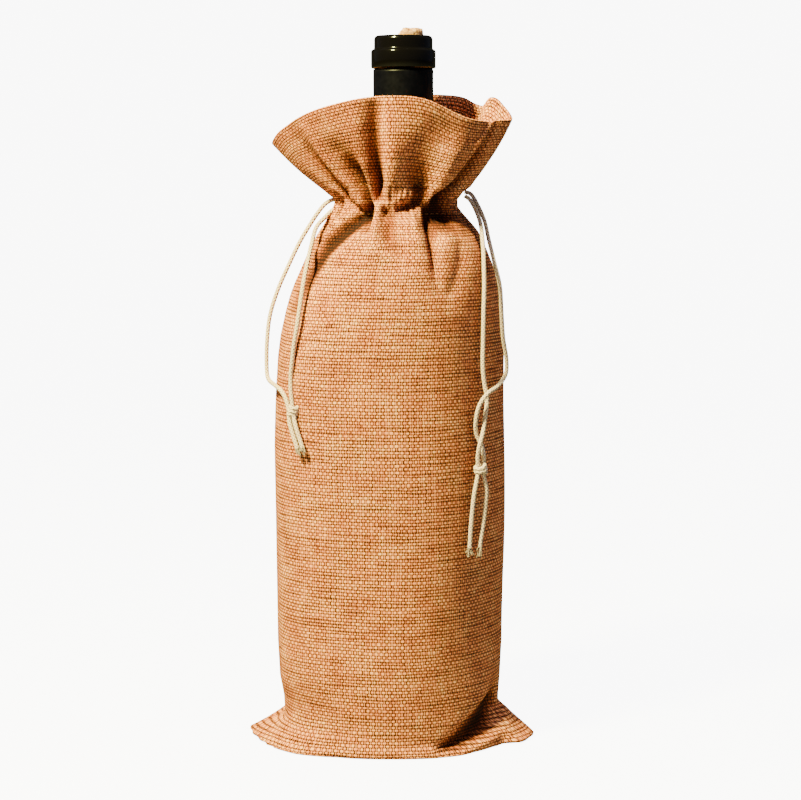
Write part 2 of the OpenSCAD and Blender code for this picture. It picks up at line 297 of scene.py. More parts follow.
def woven_cloth():
    """Open plain weave of slubby orange-tan yarn, from flat-cloth millimetres."""
    g = Graph("woven_cloth")
    u, v = g.uv()
    slow_u = g.times(u, 0.7)
    slow_v = g.times(v, 0.7)
    drift_u = g.noise(g.combine(slow_u, g.times(v, 0.05)), 1.0)
    drift_v = g.noise(g.combine(g.times(u, 0.05), slow_v, 7.0), 1.0)
    across = g.plus(g.math("DIVIDE", u, WARP_PITCH), g.times(drift_u, 1.1))
    along = g.plus(g.math("DIVIDE", v, WEFT_PITCH), g.times(drift_v, 1.1))
    warp = g.math("FLOOR", across)
    weft = g.math("FLOOR", along)
    fu = g.less(g.less(across, warp), 0.5)
    fv = g.less(g.less(along, weft), 0.5)
    parity = g.math("MODULO", g.math("ABSOLUTE", g.plus(warp, weft)), 2.0)

    def yarn(index, side, run, seed, thin, vary):
        """Round height of a yarn whose width wanders along its length."""
        slow_run = g.times(run, 0.3)
        slub = g.noise(g.combine(g.times(index, 3.7), slow_run, seed), 1.0, 2.0)
        part = g.math("DIVIDE", side, g.scaled(slub, vary, thin))
        below = g.less(1.0, g.times(part, part))
        return g.math("SQRT", g.math("MAXIMUM", below, 0.0))

    weft_over = g.math("COSINE", g.times(g.plus(fu, parity), math.pi))
    other = g.less(1.0, parity)
    warp_over = g.math("COSINE", g.times(g.plus(fv, other), math.pi))
    float_over = g.math("MINIMUM", g.scaled(weft_over, 1.5, 0.5), 1.0)
    weft_lift = g.scaled(float_over, 0.56, 0.44)
    warp_lift = g.scaled(warp_over, 0.27, 0.62)
    weft_high = g.times(yarn(weft, fv, across, 5.0, 0.345, 0.16), weft_lift)
    warp_high = g.times(yarn(warp, fu, along, 2.0, 0.16, 0.22), warp_lift)
    height = g.math("MAXIMUM", warp_high, weft_high)
    on_warp = g.math("GREATER_THAN", warp_high, weft_high)

    fibre = g.noise(g.combine(u, v, 3.0), 2.8, 4.0, 0.7)
    warp_place = g.combine(g.times(warp, 5.3), g.times(along, 0.2), 1.0)
    weft_place = g.combine(g.times(across, 0.6), g.times(weft, 5.3), 9.0)
    warp_tone = g.noise(warp_place, 1.0, 3.0, 0.6)
    weft_tone = g.noise(weft_place, 1.0, 3.0, 0.6)
    tone = g.either(on_warp, weft_tone, warp_tone)
    patches = g.noise(g.combine(u, v, 11.0), 0.085, 2.0)
    tone = g.scaled(g.less(fibre, 0.5), 0.6, tone)
    tone = g.scaled(g.less(patches, 0.52), 0.5, tone)
    colour = g.ramp(tone, [(0.22, (0.50, 0.13, 0.06)), (0.42, (0.78, 0.25, 0.11)),
                           (0.56, (0.90, 0.34, 0.145)), (0.76, (0.97, 0.48, 0.24))])
    # painted shade down between the yarns
    colour = g.tinted(colour, g.ramp(height, YARN_GAP_SHADE))
    # painted shade inside the folds
    colour = g.tinted(colour, g.ramp(g.uv("fold_shade")[0], FOLD_SHADE_RAMP))
    g.set("Base Color", colour)
    g.set("Roughness", 0.85)
    g.set("Specular IOR Level", 0.15)
    g.bump(g.scaled(fibre, 0.15, height), 0.6, 0.00022)
    return g.material


def braided_cord():
    """Pale braid: two sets of yarns crossing in a herringbone."""
    g = Graph("braided_cord")
    angle, run = g.uv()
    one = g.math("SINE", g.plus(g.times(angle, 4.0), g.times(run, 3.6)))
    two = g.math("SINE", g.less(g.times(angle, 4.0), g.times(run, 3.6)))
    height = g.math("MAXIMUM", one, two)
    # painted shade: the colour darkens from each yarn's crest down into the grooves between them
    colour = g.ramp(g.scaled(height, 0.5, 0.5),
                    [(0.0, (0.20, 0.12, 0.07)), (0.45, (0.46, 0.32, 0.24)), (1.0, (0.76, 0.56, 0.44))])
    g.set("Base Color", colour)
    g.set("Roughness", 0.75)
    g.set("Sheen Weight", 0.2)
    g.bump(height, 0.9, 0.00018)
    return g.material


def wine_material():
    g = Graph("wine")
    g.set("Base Color", (0.05, 0.002, 0.008, 1))
    g.set("Roughness", 0.05)
    return g.material


def thread_material():
    g = Graph("sewing_thread")
    spots = g.noise(g.place(), 900.0, 2.0)
    g.set("Base Color", g.ramp(spots, [(0.3, (0.16, 0.05, 0.012)), (0.7, (0.40, 0.15, 0.035))]))
    g.set("Roughness", 0.7)
    return g.material


def capsule_material():
    g = Graph("black_capsule")
    spots = g.noise(g.place(), 420.0, 3.0, 0.6)
    colour = g.ramp(spots, [(0.3, (0.0006, 0.0006, 0.0016)), (0.8, (0.002, 0.0019, 0.0044))])
    g.set("Base Color", colour)
    g.set("Roughness", g.scaled(spots, 0.2, 0.3))
    g.set("Specular IOR Level", 0.08)
    g.bump(spots, 0.15, 0.0002)
    return g.material


def glass_material():
    g = Graph("dark_glass")
    g.set("Base Color", (0.0014, 0.0011, 0.0008, 1))
    g.set("Roughness", 0.12)
    g.set("IOR", 1.45)
    g.set("Specular IOR Level", 0.22)
    g.bump(g.noise(g.place(), 90.0, 2.0), 0.12, 0.0006)
    return g.material


def cork_material():
    g = Graph("cork")
    grain = g.noise(g.place(), 420.0, 5.0, 0.65)
    pits = g.noise(g.place(), 900.0, 2.0, 0.5)
    colour = g.ramp(grain, [(0.3, (0.16, 0.06, 0.02)), (0.5, (0.52, 0.25, 0.10)), (0.7, (0.80, 0.50, 0.30))])
    shade = g.ramp(pits, [(0.3, (0.35, 0.25, 0.2)), (0.42, (1, 1, 1))])
    g.set("Base Color", g.tinted(colour, shade))
    g.set("Roughness", 0.9)
    g.bump(g.plus(grain, pits), 0.9, 0.0006)
    return g.material


CLOTH = woven_cloth()
CORD = braided_cord()
STITCH = thread_material()
CAPSULE = capsule_material()
GLASS = glass_material()
CORK = cork_material()
WINE = wine_material()


# ---------- cords
CORD_RADIUS = 1.0
LEFT_KNOT = np.array([-45.5, -27.3, 157.5])
RIGHT_KNOT = np.array([39.8, -30.4, 131.5])
ROUTES = {
    "left_front_cord": [
        (-23, -1.7, 248), (-27, -2.2, 247.2), (-31, -5, 243.5), (-34.8, -7.5, 239), (-36.8, -14, 231),
        (-38.4, -21.6, 223), (-40, -26, 214), (-41.3, -28, 205), (-42.6, -28.9, 196),
        (-44, -28.3, 188), (-45, -27.5, 180), (-45.7, -26.6, 173), (-45.7, -26.8, 167),
        (-45.2, -27.2, 161.5), (-44.8, -28, 157.5), (-44.1, -29.4, 153.5), (-43, -31, 149.5),
        (-41.6, -32, 145.5), (-40.3, -33, 141.5)],
    "left_rear_cord": [
        (-23, 1.7, 250), (-26.5, 1.7, 251.7), (-30.5, 1, 250), (-34, 0, 246), (-38, 0, 240),
        (-43, -1, 231.5), (-48, -3, 221), (-52.6, -4.5, 210.5), (-56.2, -5, 199),
        (-57.6, -6, 187), (-57.8, -7, 175), (-56.8, -10, 170), (-53.5, -16.5, 168),
        (-50.3, -22, 166), (-48, -25, 162.5), (-46.6, -26.8, 157.5), (-46.4, -28, 153.2),
        (-45.3, -29.3, 149), (-43.9, -30.6, 144.8), (-42.6, -31.6, 141)],
    "right_front_cord": [
        (33.1, -1.7, 253.5), (35.6, -2.3, 251.5), (38.3, -5, 246.5), (40.2, -8, 240.5),
        (41, -14.5, 232), (41.2, -20.5, 224.5), (41.3, -24.6, 214), (41, -27.2, 202),
        (40.8, -28.2, 190), (40.7, -28.6, 178), (41.5, -28.4, 170), (42.4, -28.4, 165.5),
        (42.6, -28.6, 161), (41.8, -29.6, 155), (40.8, -31.4, 148.5), (39.2, -32.8, 142.5),
        (38.5, -32, 137), (38.9, -31.2, 131.5), (38.2, -32, 127), (37, -33.2, 121),
        (36.2, -33.6, 114), (35.6, -33.8, 107), (35.2, -34, 101), (35, -34.2, 96)],
    "right_rear_cord": [
        (33.1, 1.7, 255.3), (36.2, 1.4, 254), (39.2, -0.5, 249), (42.2, -2, 242), (44, -4, 234),
        (46.3, -10, 224), (48.9, -13, 213), (49.6, -16, 201), (50.3, -17.5, 190),
        (51.9, -16.5, 180), (51.5, -17.5, 173), (47.5, -23.5, 168.3), (43, -31.5, 166.2),
        (39.2, -32.6, 161), (37.6, -32.2, 154), (37.9, -30.2, 147.5), (40.4, -29.6, 142),
        (41.3, -29.8, 137), (40.8, -29.7, 131.5), (41.6, -29.7, 127), (42.6, -29, 122),
        (42.2, -29.2, 115), (41.4, -29.9, 108), (40.4, -30.8, 101.5), (39.6, -31.6, 96)],
}
cord_paths = {}
cords = {}
for cord_name, route in ROUTES.items():
    cord_paths[cord_name] = path = spline(route, 0.35)
    cords[cord_name] = tubes(cord_name, [path], CORD_RADIUS, CORD, sides=20, relief=0.14)
    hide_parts(cord_name.replace("cord", "strand"), cord_name.replace("cord", "tail"))


# Height of one turn of a knot, a little less than the cord's width.
TURN_HEIGHT = 1.75


def knot(name, place, radius, turns, lean, tilt):
    """Overhand knot: close turns of the cord round both strands, the last one crossing over."""
    t = np.linspace(0, 1, 260)
    angle = 2 * math.pi * turns * t - 0.7
    wide = (radius - CORD_RADIUS) * (0.86 + 0.14 * np.sin(math.pi * t))
    climb = turns * TURN_HEIGHT * (t - 0.5) + 0.9 * np.sin(angle) * (t - 0.5)
    wraps = np.column_stack([wide * np.cos(angle), wide * np.sin(angle), climb])
    for a, first, second in ((tilt, 1, 2), (lean, 0, 2)):
        a = math.radians(a)
        one, two = wraps[:, first].copy(), wraps[:, second].copy()
        wraps[:, first] = one * math.cos(a) - two * math.sin(a)
        wraps[:, second] = one * math.sin(a) + two * math.cos(a)
    return tubes(name, [wraps + place], CORD_RADIUS, CORD, sides=16, relief=0.14)


left_knot = knot("left_knot_wraps", LEFT_KNOT + (0.8, 0, -0.2), radius=2.8, turns=3.1, lean=-14, tilt=12)
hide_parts("left_knot")
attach(left_knot, "left_cord_end")
right_knot = knot("right_knot_wraps", RIGHT_KNOT, radius=3.3, turns=2.2, lean=8, tilt=14)
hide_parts("right_knot")
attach(right_knot, "right_cord_end")


fibres = np.random.default_rng(11)
FIBRE_RADIUS = 0.13
FIBRE_POINTS = 6
FIBRE_SIDES = 4


def frayed(name, ends, length, count):
    """Loose fibres at the cut ends of a cord."""
    points, faces, uvs = [], [], []
    for end, direction in ends:
        direction = direction / np.linalg.norm(direction)
        for _ in range(count):
            spread = fibres.normal(0, 0.42, 3)
            start = end + fibres.normal(0, 0.33, 3) - direction * 0.8
            bend = fibres.normal(0, 0.5, 3)
            t = np.linspace(0, 1, FIBRE_POINTS)[:, None]
            long = length * fibres.uniform(0.4, 1.0)
            path = start + (direction + spread * 0.55) * long * t + bend * t ** 2 * 0.6
            p, uv = tube_points(path, FIBRE_RADIUS, FIBRE_SIDES)
            base = len(points) * FIBRE_POINTS * FIBRE_SIDES
            faces += [tuple(base + i for i in f) for f in grid_faces(FIBRE_POINTS, FIBRE_SIDES, closed=True)]
            points.append(p)
            uvs.append(uv)
    return add_mesh(name, np.vstack(points), faces, CORD, np.vstack(uvs))


def end_of(name):
    return cord_paths[name][-1], cord_paths[name][-1] - cord_paths[name][-8]


left_ends = [end_of("left_front_cord"), end_of("left_rear_cord")]
left_fray = frayed("left_frayed_ends", left_ends, length=3.2, count=60)
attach(left_fray, "left_cord_end")
right_ends = [end_of("right_front_cord"), end_of("right_rear_cord")]
right_fray = frayed("right_frayed_ends", right_ends, length=4.6, count=36)
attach(right_fray, "right_cord_end")

for cord_name, path in cord_paths.items():
    side = cord_name.split("_")[0]
    front = "front" in cord_name
    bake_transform(cords[cord_name])


# ---------- cloth shape
# Widths of the filled bag: height, left side, right side, half depth.
SECTIONS = np.array([
    (0, -50.2, 49.2, 40.3), (6, -50.8, 49.3, 40.8), (12, -51.0, 49.4, 41.0), (20, -51.6, 49.7, 41.0),
    (30, -53.6, 50.5, 41.0), (46, -54.4, 51.5, 41.0), (90, -54.6, 51.8, 41.0), (138, -54.5, 51.7, 41.0),
    (162, -53.7, 51.7, 41.0), (180, -52.8, 51.9, 41.0), (190, -51.6, 51.8, 40.8), (200, -49.4, 51.0, 40.3),
    (207, -47.8, 50.0, 39.8), (214, -45.6, 48.8, 39.0), (221, -42.6, 47.2, 37.9), (228, -39.4, 44.6, 36.4),
    (236, -35.0, 41.0, 34.0), (241, -31.6, 37.6, 31.6), (246, -27.8, 33.2, 28.4), (249, -26.2, 31.6, 26.4),
    (252, -25.4, 30.6, 25.6)])
GATHER = 252.0

# Rim of the ruffle, anticlockwise from the right seam: direction, x, y, height.
RIM = np.array([
    (0, 54.4, -1, 288.8), (6, 53.2, 3, 292.4), (12, 49.8, 7, 296.8), (17, 46.6, 10, 297.6),
    (23, 43.6, 13.5, 294.2), (31, 40, 18, 294.6), (42, 34.5, 24, 297.6), (60, 24, 31, 299.2),
    (90, 2, 35.5, 298.6), (120, -19, 32.5, 296.4), (145, -36, 24, 292.2), (165, -49, 11, 284.5),
    (180, -55.3, 0, 276.8), (195, -50.5, -9.5, 282.4), (212, -41, -20, 288.8), (235, -22, -31, 294.8),
    (262, -3, -34.8, 297.4), (284, 15, -33, 296.0), (304, 32, -25.5, 288.4), (325, 42.5, -16.5, 286.6),
    (345, 49.5, -8.5, 287.2), (360, 54.4, -1, 288.8)])

# Strokes pressed into the cloth. Each is a line of (height, direction, depth, half width) and how
# steep its sides are. A negative depth is a ridge.
FOLDS = [
    # ruffle
    ([(277, 224, 0, 4), (273, 227, 2.5, 4.5), (266, 231.5, 7, 4.8), (259, 236, 9, 3.6), (254, 239, 7, 2.4),
      (250, 241, 3, 2)], 2.2),
    ([(299, 255, 2.4, 5), (293.5, 254.5, 4, 4.8), (282.5, 252.5, 6, 4.6), (269, 252, 7.5, 3.8),
      (260, 252.5, 9.5, 2.8), (254, 251, 6, 2.2)], 1.9),
    ([(285, 291, 0, 8), (280, 291, 1.5, 8), (270, 284, 2.8, 7), (262, 286, 4.8, 5.4), (257, 289, 7, 3.8),
      (254, 294, 3, 2.5)], 2.4),
    ([(286, 341, 2, 3.5), (280, 335, 4.5, 4), (268, 328, 7.5, 5), (261, 325, 9, 4.6), (256, 320, 8, 3.4),
      (251, 316, 6, 4)], 2.0),
    ([(287, 331, -1.5, 1.6), (277.4, 322, -2.2, 1.8), (268, 318.5, -2.2, 1.7),
      (260, 316.5, -1.8, 1.6)], 2.0),
    ([(284, 213, -1, 2.2), (272.6, 216, -2.2, 2.4), (263, 222, -2.6, 2.2), (256, 229.5, -2.2, 1.9)], 1.8),
    ([(282, 203, 1, 4), (270, 205.5, 4, 3.8), (260, 208.5, 6.5, 3.2), (254, 215, 6.5, 2.5),
      (249, 218, 3, 2.2)], 1.8),
    # rounded pleats between the valleys
    ([(290, 266, -0.8, 7), (276, 265, -1.8, 5.5), (264, 264, -2.2, 4.5), (256, 262, -1.4, 3.5)], 2.0),
    ([(268, 243.5, -1.4, 2.6), (260, 245.5, -2.2, 2.2), (255, 246, -1.8, 2)], 2.0),
    ([(272, 305, -1.2, 5), (263, 304, -2.2, 3.6), (256, 304, -1.8, 2.6)], 2.0),
    ([(240, 281, -1.2, 6), (228, 280, -1.0, 8), (214, 280, -0.4, 10)], 2.0),
    ([(246, 251, -1.8, 2.4), (238, 253, -1.6, 3), (228, 255, -1.0, 4)], 2.0),
    # twisted roll and lumps along the gather
    ([(251.2, 266, -1.4, 1.2), (252, 270, -2.6, 1.5), (254.5, 281, -3.0, 1.6),
      (258, 291.5, -2.4, 1.4)], 2.0),
    ([(247.4, 268, 3, 1.8), (249, 280, 4.5, 2.2), (251.4, 290, 4.5, 2.2)], 2.0),
    ([(254.4, 220, -2, 1.5), (252.8, 227, -2.6, 1.7), (250.5, 233, -2.0, 1.6)], 2.0),
    ([(250.2, 222, 3.5, 1.4), (248, 231, 4, 1.7)], 2.0),
    ([(252.2, 246, -2.0, 1.6), (249.6, 251, -1.6, 1.7)], 2.0),
    ([(250.5, 257, -1.8, 1.6), (247.5, 263, -1.6, 1.6)], 2.0),
    ([(254.0, 297, -2.0, 1.4), (250.6, 303, -2.6, 1.6), (249.4, 308, -1.8, 1.4)], 2.0),
    # shoulder
    ([(249, 243, 5, 1.8), (245, 241, 8, 3), (242, 232, 7, 4), (237, 222, 6.4, 4.8), (229.5, 211.5, 5, 5.6),
      (220, 207, 3.4, 6.6), (210, 205, 1.4, 8), (200, 204, 0, 9)], 2.2),
    ([(249, 240.5, 6, 1.6), (240, 245, 5, 1.8), (235, 246, 0, 1.8)], 1.6),
    ([(247, 259.5, 5, 2), (236, 264, 4, 3.4), (229, 270, 2, 4.4), (220, 276, 0, 6)], 1.8),
    ([(247, 300, 8, 4), (240.8, 294.5, 8, 3), (233, 292.5, 6, 2.1), (225.8, 292.5, 4, 1.8),
      (217, 293, 1.6, 2.4), (208, 296, 0, 4)], 1.3),
    ([(251, 317, 7, 4.6), (246, 313, 8, 5.6), (243, 308, 6.5, 5), (240, 300, 2.4, 4)], 2.2),
    ([(244.5, 322.5, 7, 6), (240, 328, 3, 7), (232, 334, 0, 8)], 2.2),
    ([(240, 318, 1.4, 4), (226, 312, 1.8, 4), (212, 303, 1.5, 4), (204, 297, 0, 4)], 1.4),
    ([(200, 342, 0, 9), (220, 345, 2.4, 7), (236, 350, 4.4, 5), (249, 352, 5.0, 4), (258, 352, 0, 4)], 1.6),
    ([(200, 188, 0, 9), (220, 191, 2.0, 7), (236, 194, 3.6, 5), (249, 200, 5.0, 4), (258, 200, 0, 4)], 1.6),
    # hollow behind the right-hand corner, and the lip in front of it
    ([(24, 347, 2, 4.6), (19, 343, 6, 5.4), (13.5, 331, 8, 5.8), (9.2, 317, 8, 5.0), (5.2, 305, 6, 3.4),
      (3, 296, 2, 2.2)], 2.4),
    ([(14, 357, -0.8, 2.2), (9.5, 347, -2.2, 2.4), (5.4, 333, -2.6, 2.4), (3.6, 318, -2.4, 2.0),
      (2, 306, -1.2, 1.6)], 2.0),
]
# The back isn't in the photo: eight folds of one kind, each with its direction, lean and depth.
BACK_FOLDS = [(17, 5, 8.0), (38, -6, 6.0), (61, 4, 9.0), (80, 7, 6.6),
              (101, -5, 8.4), (124, 6, 6.2), (147, -7, 9.0), (166, 3, 6.6)]
for k, (where, lean, deep) in enumerate(BACK_FOLDS):
    start = 206 + 3 * (k % 3)
    FOLDS.append(([(start, where + lean, 0, 8), (226, where + lean * 0.6, deep * 0.4, 6.0),
                   (240, where, deep * 0.8, 4.2), (252, where + 2, deep, 3.2),
                   (262, where + 2, deep * 0.8, 4.4), (274, where - lean * 0.5, deep * 0.45, 6.5),
                   (292, where - lean, deep * 0.2, 9)], 1.8))


# Strokes of the same kind for the painted shade inside the closed-up folds: how dark it is painted, from 0 to
# 1.
FOLD_SHADE_STROKES = [
    ([(246, 241, 0.9, 3), (242, 234, 0.95, 4), (237, 224, 0.95, 5.4), (229.5, 213.5, 0.95, 6.6),
      (219.5, 209, 0.8, 7), (209, 206, 0.45, 8), (196, 205, 0.1, 9)], 3.0),
    ([(266, 285, 0.2, 6), (261, 286.5, 0.45, 4.6), (257, 289.5, 0.85, 3.2), (254.5, 293, 0.6, 2.6)], 2.4),
    ([(250, 314, 0.7, 4), (246.5, 309, 0.85, 4), (246.5, 316, 0.6, 3.4)], 2.6),
    ([(20, 345, 0.8, 4.4), (13, 331, 1.0, 5.4), (9, 317, 0.9, 4.4), (5.2, 305, 0.7, 3),
      (3, 297, 0.3, 2)], 3.0),
    ([(272, 329, 0.4, 4), (261, 325, 0.65, 4), (255, 319, 0.7, 3)], 2.4),
    ([(300, 224, 0.24, 26), (264, 228, 0.24, 18)], 3.0),
    ([(247, 262, 0.4, 3), (236, 264, 0.35, 3.4), (229, 270, 0.25, 4)], 2.0),
]


# Millimetres of cloth to one degree round the bag, by height.
PER_DEGREE = ([0, 30, 200, 230, 245, 255, 290], [0.82, 0.82, 0.80, 0.66, 0.50, 0.50, 0.82])
# Where folds meet, their depth beyond the first value levels off within the second.
FULL_DEPTH = 7
SOFT_DEPTH = 3.5


def pressed_in(direction, height, strokes=FOLDS):
    """How far the folds pull the cloth in, for arrays of direction (degrees) and height; with the
    painted-shade strokes, how dark the painted shade is.
    """
    per_degree = np.interp(height, *PER_DEGREE)
    total = np.zeros_like(direction)
    for nodes, power in strokes:
        best = np.zeros_like(direction)
        for a, b in zip(nodes[:-1], nodes[1:]):
            ax = ((direction - a[1] + 180) % 360 - 180) * per_degree
            bx = (b[1] - a[1]) * per_degree
            bz = b[0] - a[0]
            t = np.clip((ax * bx + (height - a[0]) * bz) / (bx * bx + bz * bz), 0, 1)
            away = np.hypot(ax - t * bx, height - a[0] - t * bz)
            value = (a[2] + t * (b[2] - a[2])) * np.exp(-(away / (a[3] + t * (b[3] - a[3]))) ** power)
            best = np.where(np.abs(value) > np.abs(best), value, best)
        total += best
    levelled = FULL_DEPTH + SOFT_DEPTH * np.tanh((total - FULL_DEPTH) / SOFT_DEPTH)
    return np.where(total > FULL_DEPTH, levelled, total)


def smooth_periodic(angles, values, at):
    """Smooth interpolation round a closed rim."""
    a = np.concatenate([angles[:-1] - 360, angles[:-1], angles + 360])
    v = np.concatenate([values[:-1], values[:-1], values])
    slope = np.gradient(v, a)
    i = np.clip(np.searchsorted(a, at, side="right") - 1, 0, len(a) - 2)
    h = a[i + 1] - a[i]
    t = (at - a[i]) / h
    return ((1 + 2 * t) * (1 - t) ** 2 * v[i] + t * (1 - t) ** 2 * h * slope[i]
            + t * t * (3 - 2 * t) * v[i + 1] + t * t * (t - 1) * h * slope[i + 1])


def stretched_outline(left, right, radius, centre, count=181):
    """Front half of cloth pulled round a bottle and out flat to the two side seams, at even spacing."""
    to_left = math.acos(radius / (centre - left))
    to_right = math.acos(radius / (right - centre))
    turn = np.linspace(math.pi + to_left, 2 * math.pi - to_right, 60)
    arc = np.column_stack([centre + radius * np.cos(turn), radius * np.sin(turn)])
    line = np.vstack([[left, 0], arc, [right, 0]])
    run = np.concatenate([[0], np.cumsum(np.hypot(*np.diff(line, axis=0).T))])
    soft = points_at(np.linspace(0, run[-1], count), run, line)
    for _ in range(14):
        soft[1:-1] = (soft[:-2] + 2 * soft[1:-1] + soft[2:]) / 4
    return soft


NECK_CENTRE = np.array([NECK_X, 0.0])
# Radius of cloth that lies tight round the bottle's body.
TIGHT_RADIUS = 40.2
# How far the section follows that tight cloth, by direction.
TIGHT_SHARE = ([0, 90, 180, 200, 240, 300, 360], [0.55, 0.35, 0.1, 0, 0, 0.85, 0.55])
# The body is fuller at the front left, behind the cords: the middle and the half width of it.
FULL_DIRECTION = 214
FULL_WIDTH = 38


def section(z, direction):
    """Outline of the filled bag before its folds, for arrays of height and direction."""
    left = np.interp(z, SECTIONS[:, 0], SECTIONS[:, 1])
    right = np.interp(z, SECTIONS[:, 0], SECTIONS[:, 2])
    deep = np.interp(z, SECTIONS[:, 0], SECTIONS[:, 3])
    a = np.radians(direction)
    front = direction % 360
    share = np.clip((z - 6) / 40, 0, 1) * np.clip((236 - z) / 46, 0, 1)
    share = share * share * (3 - 2 * share)
    near = 0.5 + 0.5 * np.cos(math.pi * np.clip((front - FULL_DIRECTION) / FULL_WIDTH, -1, 1))
    fuller = np.interp(z, [150, 168], [0.16, 0.4]) * share * near
    power = 2 / (2 + fuller)
    x = (left + right) / 2 + (right - left) / 2 * np.sign(np.cos(a)) * np.abs(np.cos(a)) ** power
    y = deep * np.sign(np.sin(a)) * np.abs(np.sin(a)) ** power
    share = share * np.interp(front, *TIGHT_SHARE)
    for i in range(len(z)):
        if share[i].max() > 0:
            tight = min(TIGHT_RADIUS, deep[i, 0])
            line = stretched_outline(left[i, 0], right[i, 0], tight, NECK_X)
            at = np.where(front[i] >= 180, front[i] - 180, 180 - front[i])
            if direction[i, -1] == 360:
                at[-1] = at[0]
            even = np.linspace(0, 180, len(line))
            lx = np.interp(at, even, line[:, 0])
            ly = np.interp(at, even, line[:, 1]) * np.where(front[i] >= 180, 1, -1)
            x[i] += (lx - x[i]) * share[i]
            y[i] += (ly - y[i]) * share[i]
    return x, y


# Spread of the cloth at the base, by degrees off each side: reach, height and how sharply it turns up.
RIGHT_FRONT = np.array([
    (0, 18, 17, 1.0), (8, 18, 14, 1.0), (18, 14.5, 9.5, 0.9), (23, 8, 9, 0.9), (30, 6, 10, 0.9),
    (45, 5.2, 8.5, 0.9), (55, 6, 6, 0.9), (65, 5, 5, 1.0), (80, 3.5, 6, 1.2), (90, 3, 8, 1.3)])
LEFT_FRONT = np.array([
    (0, 17, 10.5, 0.8), (7, 16.5, 11, 0.9), (14, 15, 13, 1.3), (27, 13, 19, 1.9), (43, 11, 22, 2.2),
    (62, 5, 17, 2.0), (80, 3.5, 10, 1.5), (90, 3, 8, 1.3)])
AT_BACK = np.array([
    (0, 17.5, 14, 1.0), (10, 15, 13, 1.2), (20, 9, 13, 1.5), (32, 5, 14, 1.8), (60, 3, 12, 1.6),
    (90, 2.5, 8, 1.3)])


def corner_flare(direction, z):
    """Outward reach of the flattened bottom corners; the left one is lifted a little off the floor."""
    a = direction % 360
    reach = np.zeros_like(z)
    off_right = np.where(a > 180, 360 - a, a)
    off_left = np.abs(a - 180)
    quarters = ((a >= 270, off_right, RIGHT_FRONT), ((a >= 180) & (a < 270), off_left, LEFT_FRONT),
                ((a > 90) & (a < 180), off_left, AT_BACK), (a <= 90, off_right, AT_BACK))
    for where, off, table in quarters:
        long, tall, power = (np.interp(off, table[:, 0], table[:, k]) for k in (1, 2, 3))
        seam = np.clip(1 - off / 8, 0, 1)
        on_left = (a > 90) & (a < 270)
        tall = tall * (1 - seam) + np.where(on_left, 10.5, 16.5) * seam
        lifted = np.where(on_left, 3.6, 1.2) * np.clip(1 - off / 26, 0, 1)
        above = np.clip(1 - (z - lifted) / (tall - lifted), 0, 1) ** power
        below = 1 - 0.3 * np.clip((lifted - z) / np.maximum(lifted, 0.1), 0, 1) ** 1.5
        reach = np.where(where, long * np.where(z > lifted, above, below), reach)
    return reach


COLUMNS = 121
RING = 2 * (COLUMNS - 1)
# Heights of the rows, close together at the base and over the shoulders.
wall_z = np.concatenate([
    np.array([0.0, 0.5, 1.2, 2.2, 3.2, 4.2, 5.4, 6.6]),
    np.arange(8, 30, 1.25),
    np.arange(30, 60, 2.0),
    np.arange(60, 186, 3.0),
    np.arange(187, GATHER + 0.1, 1.25),
])
base_f = np.linspace(0, 1, 12)[:-1]
rise = np.concatenate([np.linspace(0, 0.3, 14)[1:], np.linspace(0.3, 1, 27)[1:]])


def soft_noise(direction, z, seed, round_scale, high_scale):
    """Gentle unevenness of hand-filled cloth."""
    g = np.random.default_rng(seed)
    total = np.zeros_like(direction)
    for _ in range(9):
        k = g.integers(1, round_scale + 1)
        size = g.normal(0, 1)
        start = g.uniform(0, 6.28)
        slant = g.normal(0, 1)
        total += size * np.cos(np.radians(k * direction) + start + z * slant / high_scale)
    return total / 3


def puckers(d, z):
    """Small creases of the gathered cloth."""
    even = 0.75 * np.cos(np.radians(23 * d) + 0.13 * z * np.cos(np.radians(3 * d)))
    return even + 0.6 * soft_noise(d, z, 9, 26, 4.0)


# Least radius of the cloth round the bottle inside it, by height.
BOTTLE_ROOM = ([2, 8, 185, 212, 232, 241, 250], [36.5, 38.9, 38.9, 28.5, 19.5, 19.4, 19.4])
# The same in the ruffle: round the gather, and how much less it is above.
NECK_ROOM = 19.4
LESS_ABOVE = 2.6


def push_clear(points, least, where):
    """Moves cloth that is nearer to the bottle's axis than the least radius outwards to it."""
    off = points[..., :2] - NECK_CENTRE
    far = np.maximum(np.hypot(off[..., 0], off[..., 1]), 1e-6)
    points[..., :2] += off * (np.maximum(least / far, 1) - 1)[..., None] * where[..., None]


